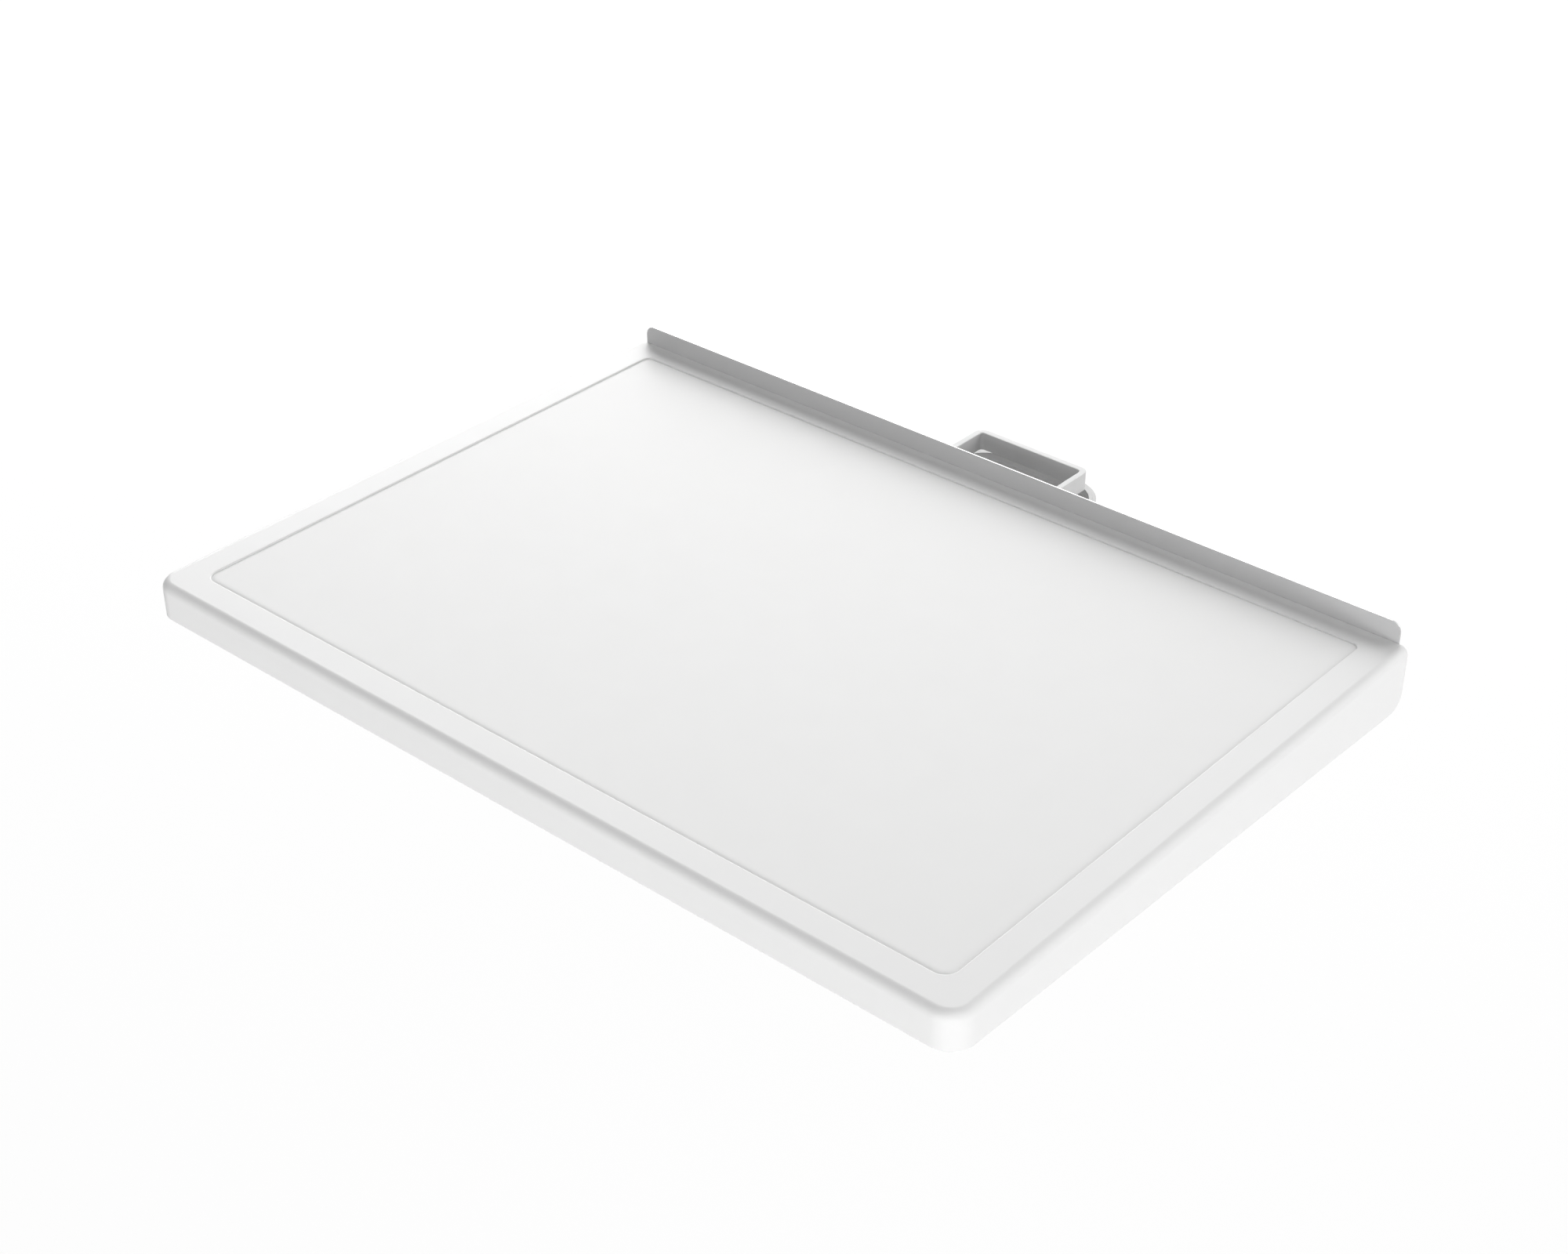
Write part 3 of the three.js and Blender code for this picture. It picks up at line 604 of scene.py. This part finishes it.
def make_cutting_panel():
    """The lift-out sheet, which fills its recess but for a hairline, with softly eased upper edges."""
    grow = Vector((1, 1, 0)) * (sheet_gap - shown_gap)
    start = sheet_high.z - ease_fall
    piece = upright_block(
        "cutting_panel",
        sheet_low - grow,
        Vector((sheet_high.x, sheet_high.y, start)) + grow,
        recess_front_radius - shown_gap,
        recess_rear_radius - shown_gap,
        10,
    )
    choose(piece, "FACE", lambda c, n: n.z > 0.9)
    steps = 8
    for i in range(steps):
        rise = (1 - i / steps) ** 3 - (1 - (i + 1) / steps) ** 3
        bpy.ops.mesh.inset(thickness=ease_width / steps, depth=ease_fall * rise)
    bpy.ops.object.mode_set(mode="OBJECT")
    round_edges(piece, 0.15 * MM, 2, lambda a, b: both(a, b, 2, start) or both(a, b, 2, sheet_low.z))
    smooth(piece)
    return dress(piece, "sheet", "sheet_plastic", white_board_sheet, "cutting_sheet")


def make_underside_cover():
    low, high = cover_low, cover_high
    bottom = board_underside(high.y)
    piece = block("underside_cover", (low.x, low.y, bottom), (high.x, high.y, bottom + cover_thickness))
    lift(piece, board_underside(low.y) - bottom, lambda p: same(p.y, low.y))
    corner = front_corner - shell_wall - sheet_gap
    round_edges(piece, corner, 12, lambda a, b: along(a, b, 2) and both(a, b, 1, low.y))
    for i in range(cover_screws):
        seat, head = cover_screw_line(i)
        inner = seat - head * cover_sink_depth
        cut(piece, rod("sink", seat + head * 0.01 * MM, inner, cover_sink_radius, 48, cover_screw_hole))
        cut(piece, rod("hole", seat + head * 2 * MM, seat - head * 6 * MM, cover_screw_hole, 32))
    tidy(piece)
    soften(piece, 0.35 * MM, 2, 40)
    return dress(piece, "board", "white_plastic", white_moulding, "bottom_cover")


def cover_screw_line(i):
    """Where a cover screw's head lies in the underside, and the way that it points."""
    low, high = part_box(f"cover_screw_{i + 1}")
    head = Vector((0, -math.sin(slope), -math.cos(slope)))
    x, y, z = (low + high) / 2
    y -= (z - board_underside(y)) * math.tan(slope)
    return Vector((x, y, board_underside(y))), head


def make_rear_plate():
    """The upright plate, painted but for its bare upper edge."""
    front, rear = plate_low.y, plate_high.y
    upper_corner, edge = 6 * MM, 0.25 * MM
    piece = block("lip_plate", plate_low, plate_high)
    round_edges(piece, upper_corner, 12, lambda a, b: along(a, b, 1) and both(a, b, 2, plate_high.z))
    round_edges(piece, edge, 3, lambda a, b: both(a, b, 1, front) or both(a, b, 1, rear))
    smooth(piece)
    dress(piece, "board", "grey_paint", grey_powder_coat, "rear_plate")
    second_finish(piece, bright_steel_edge, lambda c, n: n.z > 0.6 and c.z > 0)
    return piece


# The guide loop and the collar


def cut_sink(piece, outer, inner):
    """Cuts the cone for a sunk head between two points."""
    cut(piece, rod("sink", outer, inner, sink_radius, 48, screw_hole))


def make_guide_ring():
    piece = upright_block("guide_ring", loop_low, loop_high, 0, ring_rear_radius, 12)
    hole = upright_block(
        "hole",
        (-passage_half_width, -passage_half_depth, loop_low.z - overrun),
        (passage_half_width, passage_half_depth, loop_high.z + overrun),
        0,
        2 * MM,
        6,
    )
    cut(piece, hole)
    seat = -passage_half_depth
    for i in (1, 2):
        low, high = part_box(f"loop_screw_{i}")
        x, _, z = (low + high) / 2
        cut_sink(piece, (x, seat + sink_overrun, z), (x, seat - sunk_head_depth, z))
    tidy(piece)
    soften(piece, 0.5 * MM, 3, 50)
    smooth(piece)
    # The ring takes the darker copy of the white moulding, whose lower tone is painted shade.
    dress(piece, "board", "white_plastic", white_moulding_painted_shade, "guide_loop")
    # The passage's inner faces are painted grey: painted shade inside the ring.
    reach_x, reach_y = passage_half_width + 0.1 * MM, passage_half_depth + 0.1 * MM

    def is_inside(centre, normal):
        return abs(centre.x) < reach_x and abs(centre.y) < reach_y and abs(normal.z) < 0.3

    second_finish(piece, passage_painted_shade, is_inside)
    return piece


def collar_form(name, inset, front, bottom, top, segments=20):
    """A block with the collar's outline, moved in from its sides and rear."""
    side, rear = collar_half_width - inset, collar_rear - inset
    low, high = (-side, front, bottom), (side, rear, top)
    return upright_block(name, low, high, 0, collar_radius - inset, segments)


def collar_ring(name, outer, inner, front, bottom, top):
    """The stretch of the collar's outline between two distances from its sides and rear."""
    ring = collar_form(name, outer, front, bottom, top)
    cut(ring, collar_form("ring_inside", inner, front - overrun, bottom - overrun, top + overrun))
    return ring


def make_collar_body():
    """The box that grips the post, with an ear on each side, a boss for the bush and a wider mouth."""
    front, bottom = collar_low.y, collar_low.z
    piece = collar_form("collar_body", 0, front, bottom, collar_top)
    near, far = collar_half_width - collar_wall, collar_high.x
    for side in (-1, 1):
        low_x, high_x = sorted((side * near, side * far))
        ear = block("ear", (low_x, front, ear_bottom), (high_x, front + ear_depth, ear_top))
        round_edges(ear, ear_radius, 6, lambda a, b: along(a, b, 1) and both(a, b, 0, side * far))
        add(piece, ear)
    boss_end = collar_rear + boss_length
    add(piece, clamp_rod("boss", boss_end - boss_length - 1.5 * MM, boss_end, boss_radius, 64))
    inner = -passage_half_depth
    step = 2 * MM
    cut(piece, collar_form("bore", collar_wall, inner, bottom + step, 0))
    cut(piece, collar_form("outlet", collar_wall + step, inner, bottom - overrun, 0))
    cut(piece, clamp_rod("bush_hole", 25 * MM, 45 * MM, 6.6 * MM))
    for i in (1, 2):
        low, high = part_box(f"liner_screw_{i}")
        _, y, z = (low + high) / 2
        side = 1 if low.x > 0 else -1
        face = side * collar_half_width
        cut_sink(piece, (face + side * sink_overrun, y, z), (face - side * sunk_head_depth, y, z))
        cut(piece, rod("hole", (face + side * MM, y, z), (face - side * 6 * MM, y, z), screw_hole, 32))
    tidy(piece)
    soften(piece, 0.5 * MM, 3, 50)
    cut(piece, collar_form("mouth", mouth_wall, inner, collar_top - mouth_depth, 0))
    tidy(piece)
    smooth(piece)
    # The collar's dark coat is partly painted shade.
    return dress(piece, "board", "white_paint", grey_coat_with_painted_shade, "clamp_collar")


def make_collar_liner():
    """The lining of the passage, whose rim stands close beside the collar's, above a sunk floor."""
    liner_gap = 0.3 * MM
    front = -passage_half_depth + liner_gap
    top, floor = collar_top, liner_floor
    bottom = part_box("collar_liner")[0].z
    lip = mouth_wall + shown_gap
    piece = collar_form("passage_liner", mouth_wall - MM, front, floor - 3 * MM, floor)
    add(piece, collar_ring("rim", mouth_wall - MM, lip + liner_rim, front, floor - 1.5 * MM, top))
    side = passage_half_width + sleeve_wall
    rear = passage_half_depth + sleeve_wall
    add(piece, block("sleeve", (-side, front, bottom), (side, rear, floor - 0.1 * MM)))
    add(piece, collar_form("foot", collar_wall + liner_gap, front, bottom, bottom + 6 * MM))
    passage = block(
        "passage",
        (-passage_half_width, front - overrun, bottom - overrun),
        (passage_half_width, passage_half_depth, top + overrun),
    )
    cut(piece, passage)
    window = Vector((20.3 * MM, 10 * MM, 10.3 * MM))
    middle = Vector((0, passage_half_depth + 1.5 * MM, clamp_level))
    cut(piece, block("window", middle - window, middle + window))
    for i in (1, 2):
        low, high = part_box(f"liner_screw_{i}")
        middle = (low + high) / 2
        cut(piece, rod("hole", middle - X * 20 * MM, middle + X * 20 * MM, screw_hole, 24))
    tidy(piece)
    soften(piece, 0.35 * MM, 2, 50)
    cut(piece, collar_ring("trim", -overrun, lip, front - overrun, floor - 10 * MM, top + overrun))
    tidy(piece)
    smooth(piece)
    dress(piece, "board", "liner_plastic", bearing_plastic, "collar_liner")
    # The liner's rim top takes the collar's coat, which is partly painted shade, so that both rims read as
    # one band.
    second_finish(piece, grey_coat_with_painted_shade, lambda c, n: c.z > top - MM)
    return piece


# The hand screw and its shoe


def make_knob_grip():
    """A round knob with six flutes, bored for the spindle and stepped for its cap."""
    radius, flute, flute_depth = 16 * MM, 9 * MM, 2.2 * MM
    edge, seat_radius, seat_depth, bore = 1.4 * MM, 6.1 * MM, 2.6 * MM, 4.1 * MM
    front, rear = knob_low.y, knob_high.y
    piece = clamp_rod("knob_grip", front, rear, radius, 96)
    away = radius + flute - flute_depth
    for i in range(6):
        angle = math.radians(30 + 60 * i)
        x, z = away * math.cos(angle), clamp_level + away * math.sin(angle)
        cut(piece, rod("flute", (x, front - overrun, z), (x, rear + overrun, z), flute, 64))
    tidy(piece)
    round_edges(piece, edge, 5, lambda a, b: both(a, b, 1, front) or both(a, b, 1, rear))
    cut(piece, clamp_rod("cap_seat", rear - seat_depth, rear + overrun, seat_radius))
    cut(piece, clamp_rod("bore", front - overrun, rear + overrun, bore))
    tidy(piece)
    smooth(piece)
    return dress(piece, "knob", "black_plastic", black_grain, "clamp_knob")


def make_knob_cap():
    """A disc with a shallow dish in its face."""
    radius, rim, dish = 6 * MM, 1.4 * MM, 0.5 * MM
    low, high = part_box("knob_cap")
    piece = clamp_rod("knob_cap_disc", low.y, high.y, radius, 64)
    choose(piece, "FACE", lambda c, n: n.y > 0.9)
    bpy.ops.mesh.inset(thickness=rim)
    bpy.ops.transform.translate(value=(0, -dish, 0))
    bpy.ops.object.mode_set(mode="OBJECT")
    soften(piece, 0.3 * MM, 3, 30)
    smooth(piece)
    return dress(piece, "knob", "black_plastic", black_grain, "knob_cap")


def make_clamp_spindle():
    """A turned neck, a shoulder and a threaded shank."""
    start, end = screw_low.y, screw_high.y
    radius, neck = 4 * MM, 2.5 * MM
    shoulder = shoe_high.y + 0.3 * MM
    pitch, root = 1.25 * MM, 3.45 * MM
    steps = [(neck - 0.3 * MM, start), (neck, start + 0.3 * MM), (neck, shoulder), (root, shoulder)]
    y = shoulder + 0.2 * MM
    while y + pitch < end - 0.5 * MM:
        steps += [(root, y), (radius, y + pitch * 0.44), (radius, y + pitch * 0.56)]
        y += pitch
    steps += [(root, y), (root, end)]
    piece = turned("clamp_spindle", steps)
    smooth(piece)
    return dress(piece, "knob", "zinc_steel", zinc_plate, "clamp_screw")


def make_bush():
    """The threaded bush: a flange inside the collar's wall and a neck through it."""
    flange, flange_radius, neck_radius, bore = 3 * MM, 9 * MM, 6.5 * MM, 4.3 * MM
    front, shoulder, rear = bush_low.y, bush_low.y + flange, bush_high.y
    piece = clamp_rod("bush_body", front, shoulder, flange_radius, 64)
    add(piece, clamp_rod("neck", shoulder - MM, rear, neck_radius, 64))
    cut(piece, clamp_rod("bore", front - MM, rear + MM, bore))
    tidy(piece)
    soften(piece, 0.3 * MM, 2, 40)
    smooth(piece)
    return dress(piece, "board", "brass", turned_brass, "thread_bush")


def make_shoe():
    """The plate that the spindle pushes, with a socket for the spindle's neck."""
    corner, socket_depth, socket_radius = 2 * MM, 3.4 * MM, 2.8 * MM
    rear = shoe_high.y
    piece = block("shoe_plate", shoe_low, shoe_high)
    round_edges(piece, corner, 6, lambda a, b: along(a, b, 1))
    cut(piece, clamp_rod("socket", rear - socket_depth, rear + MM, socket_radius, 32))
    tidy(piece)
    soften(piece, 0.4 * MM, 2, 40)
    smooth(piece)
    return dress(piece, "shoe", "cast_aluminium", cast_alloy, "clamp_shoe")


def make_pad():
    """The rubber face of the shoe, with upright grooves."""
    corner, half_groove, groove_depth = 1.5 * MM, 0.4 * MM, 0.5 * MM
    low, high = pad_low, pad_high
    piece = block("rubber_pad", low, high)
    round_edges(piece, corner, 6, lambda a, b: along(a, b, 1))
    for i in range(-5, 6):
        x = i * 3 * MM
        groove = block(
            "groove",
            (x - half_groove, low.y - MM, low.z - MM),
            (x + half_groove, low.y + groove_depth, high.z + MM),
        )
        cut(piece, groove)
    tidy(piece)
    soften(piece, 0.15 * MM, 2, 40)
    smooth(piece)
    return dress(piece, "shoe", "black_rubber", black_rubber, "shoe_pad")


# The fasteners, each modelled once and copied


def cut_cross(piece, half_length, half_width, bottom, top):
    """Cuts the two crossed slots for a screwdriver in a head that looks along +Z."""
    for turn_by in (0, 90):
        slot = block("slot", (-half_length, -half_width, bottom), (half_length, half_width, top))
        slot.rotation_euler.z = math.radians(turn_by)
        settle(slot)
        cut(piece, slot)


def make_sunk_head(name, length):
    """A countersunk screw with a cross slot, whose face looks along +Z from the origin."""
    piece = stud(name, -sunk_head_depth, -0.15 * MM, 2 * MM, 48, sunk_head_radius)
    add(piece, stud("rim", -0.2 * MM, 0, sunk_head_radius, 48))
    add(piece, stud("shank", -length, -2 * MM, shank_radius, 32))
    cut_cross(piece, 1.9 * MM, 0.4 * MM, -1.3 * MM, MM)
    cut(piece, stud("centre", -1.7 * MM, 0.1 * MM, 0.5 * MM, 24, 1.1 * MM))
    tidy(piece)
    soften(piece, 0.12 * MM, 2, 45)
    return smooth(piece)


def make_pan_head(name, length):
    """A pan-head screw with a cross slot, whose seat is at the origin and whose head looks along +Z."""
    height = pan_head_height
    piece = stud(name, 0, height, pan_head_radius, 64)
    round_edges(piece, 1.1 * MM, 6, lambda a, b: both(a, b, 2, height))
    add(piece, stud("shank", -length, 0.5 * MM, shank_radius, 32))
    cut_cross(piece, 2 * MM, 0.42 * MM, 0.9 * MM, 4 * MM)
    cut(piece, stud("centre", 0.7 * MM, 2.5 * MM, 0.5 * MM, 24, 1.2 * MM))
    tidy(piece)
    soften(piece, 0.12 * MM, 2, 45)
    return smooth(piece)


def make_cap_head(name, length):
    """A socket-head bolt with a knurled side, whose seat is at the origin and whose head looks along +Z."""
    height, knurl = bolt_head_height, 0.965
    piece = stud(name, 0, height, bolt_head_radius, 64)
    choose(piece, "EDGE", lambda a, b: along(a, b, 2))
    bpy.ops.mesh.select_nth(skip=1, nth=1)
    bpy.ops.transform.resize(value=(knurl, knurl, 1))
    bpy.ops.object.mode_set(mode="OBJECT")
    round_edges(piece, 0.4 * MM, 3, lambda a, b: both(a, b, 2, height))
    add(piece, stud("shank", -length, 0.5 * MM, bolt_shank_radius, 32))
    cut(piece, stud("socket", 2.5 * MM, 6 * MM, 2.3 * MM, 6))
    tidy(piece)
    return smooth(piece, 20)


def place_copies(model, places):
    """Copies a fastener to each node's place, then removes the model."""
    for node, seat, head in places:
        copy = model.copy()
        copy.data = model.data.copy()
        copy.name = copy.data.name = f"{node}_dressed"
        bpy.context.scene.collection.objects.link(copy)
        copy.matrix_world = Matrix.Translation(seat) @ head.to_track_quat("Z", "Y").to_matrix().to_4x4()
        settle(copy)
        dress(copy, "board", "zinc_steel", zinc_plate, node)
    bpy.data.objects.remove(model, do_unlink=True)


def seats(name, count, axis, side=0, head_height=0):
    """Each fastener's seat, a head's height inside the end of its box, and the way that its head points.

    Without a side, each head points away from the middle.
    """
    found = []
    for i in range(count):
        node = f"{name}_{i + 1}"
        low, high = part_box(node)
        seat = (low + high) / 2
        way = side if side else (1 if seat[axis] > 0 else -1)
        end = high[axis] if way > 0 else low[axis]
        seat[axis] = end - way * head_height
        head = Vector((0, 0, 0))
        head[axis] = way
        found.append((node, seat, head))
    return found


def make_fasteners():
    under = [(f"cover_screw_{i + 1}", *cover_screw_line(i)) for i in range(cover_screws)]
    place_copies(make_sunk_head("cover_screw_model", 12 * MM), under)
    place_copies(make_sunk_head("loop_screw_model", 13 * MM), seats("loop_screw", 2, 1, 1))
    place_copies(make_sunk_head("liner_screw_model", 11 * MM), seats("liner_screw", 2, 0))
    behind = seats("plate_screw", 4, 1, 1, pan_head_height)
    place_copies(make_pan_head("plate_screw_model", 10 * MM), behind)
    on_ears = seats("collar_bolt", 4, 1, 1, bolt_head_height)
    place_copies(make_cap_head("collar_bolt_model", 16 * MM), on_ears)


def dress_hidden_frame():
    """The steel frame inside keeps its CAD solids and gets its own metal."""
    for node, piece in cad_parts.items():
        if node in ("rear_beam", "left_arm", "right_arm", "front_rail"):
            material = drawn_steel
        elif node.startswith(("arm_screw", "rail_screw")):
            material = zinc_plate
        else:
            continue
        for slot in piece.material_slots:
            slot.material = material


make_board_body()
make_cutting_panel()
make_underside_cover()
make_rear_plate()
make_guide_ring()
make_collar_body()
make_collar_liner()
make_knob_grip()
make_knob_cap()
make_clamp_spindle()
make_bush()
make_shoe()
make_pad()
make_fasteners()
dress_hidden_frame()


# The studio

floor_level = -0.9
studio_middle = Vector((0, -0.2, 0))


def background_ray(tree):
    """1 for rays that show the background, straight or in a reflection, and 0 for rays that carry light."""
    paths = tree.nodes.new("ShaderNodeLightPath")
    seen = math_node(tree, "MAXIMUM", paths.outputs["Is Camera Ray"], paths.outputs["Is Glossy Ray"])
    return math_node(tree, "MAXIMUM", seen, paths.outputs["Is Transmission Ray"])


def make_floor():
    only(None)
    bpy.ops.mesh.primitive_plane_add(size=60, location=(0, 0, floor_level))
    floor = bpy.context.object
    floor.name = "studio_floor"
    material = bpy.data.materials.new("pale_floor")
    material.use_nodes = True
    tree = material.node_tree
    surface = tree.nodes["Principled BSDF"]
    surface.inputs["Base Color"].default_value = (0.85, 0.85, 0.85, 1)
    surface.inputs["Roughness"].default_value = 0.9
    glow = tree.nodes.new("ShaderNodeEmission")
    glow.inputs["Strength"].default_value = 1.0
    mix = tree.nodes.new("ShaderNodeMixShader")
    share = math_node(tree, "MULTIPLY", background_ray(tree), 0.9)
    tree.links.new(share, mix.inputs[0])
    tree.links.new(surface.outputs[0], mix.inputs[1])
    tree.links.new(glow.outputs[0], mix.inputs[2])
    tree.links.new(mix.outputs[0], tree.nodes["Material Output"].inputs["Surface"])
    floor.data.materials.append(material)


def make_world():
    world = bpy.data.worlds.new("studio")
    bpy.context.scene.world = world
    world.use_nodes = True
    tree = world.node_tree
    light = tree.nodes["Background"]
    light.inputs["Color"].default_value = (1, 1, 1, 1)
    light.inputs["Strength"].default_value = 0.04
    backdrop = tree.nodes.new("ShaderNodeBackground")
    backdrop.inputs["Color"].default_value = (1, 1, 1, 1)
    backdrop.inputs["Strength"].default_value = 1.0
    mix = tree.nodes.new("ShaderNodeMixShader")
    tree.links.new(background_ray(tree), mix.inputs[0])
    tree.links.new(light.outputs[0], mix.inputs[1])
    tree.links.new(backdrop.outputs[0], mix.inputs[2])
    tree.links.new(mix.outputs[0], tree.nodes["World Output"].inputs["Surface"])


def soft_lamp(name, place, size, power):
    """A broad soft box that looks at the middle of the board and stays out of the camera's view."""
    data = bpy.data.lights.new(name, "AREA")
    data.shape = "RECTANGLE"
    data.size, data.size_y = size
    data.energy = power
    lamp = bpy.data.objects.new(name, data)
    bpy.context.scene.collection.objects.link(lamp)
    lamp.visible_camera = False
    lamp.location = place
    lamp.rotation_euler = (studio_middle - Vector(place)).to_track_quat("-Z", "Y").to_euler()


make_floor()
make_world()
soft_lamp("rear_middle", (0, 4, 2.4), (7, 1.8), 20)
soft_lamp("rear_high", (0, 3.2, 3.9), (6, 2), 38)
soft_lamp("rear_left_low", (-3.3, 3.3, 0.9), (4, 1.6), 140)
soft_lamp("rear_left_middle", (-3, 3, 2.5), (4, 2), 115)
soft_lamp("rear_right_low", (3.3, 3.3, 0.9), (4, 1.6), 53)
soft_lamp("rear_right_middle", (3, 3, 2.5), (4, 2), 41)
soft_lamp("top", (0, -0.2, 4.6), (4, 3), 11)
soft_lamp("front_middle", (0.8, -4.5, 1.2), (4, 1.2), 52)
soft_lamp("front_right_high", (2.6, -2.8, 3.1), (3, 2), 47)
soft_lamp("front_right_low", (3.3, -3.5, -0.42), (3.5, 0.75), 79)

bpy.context.scene.view_settings.view_transform = "Standard"

only(None)
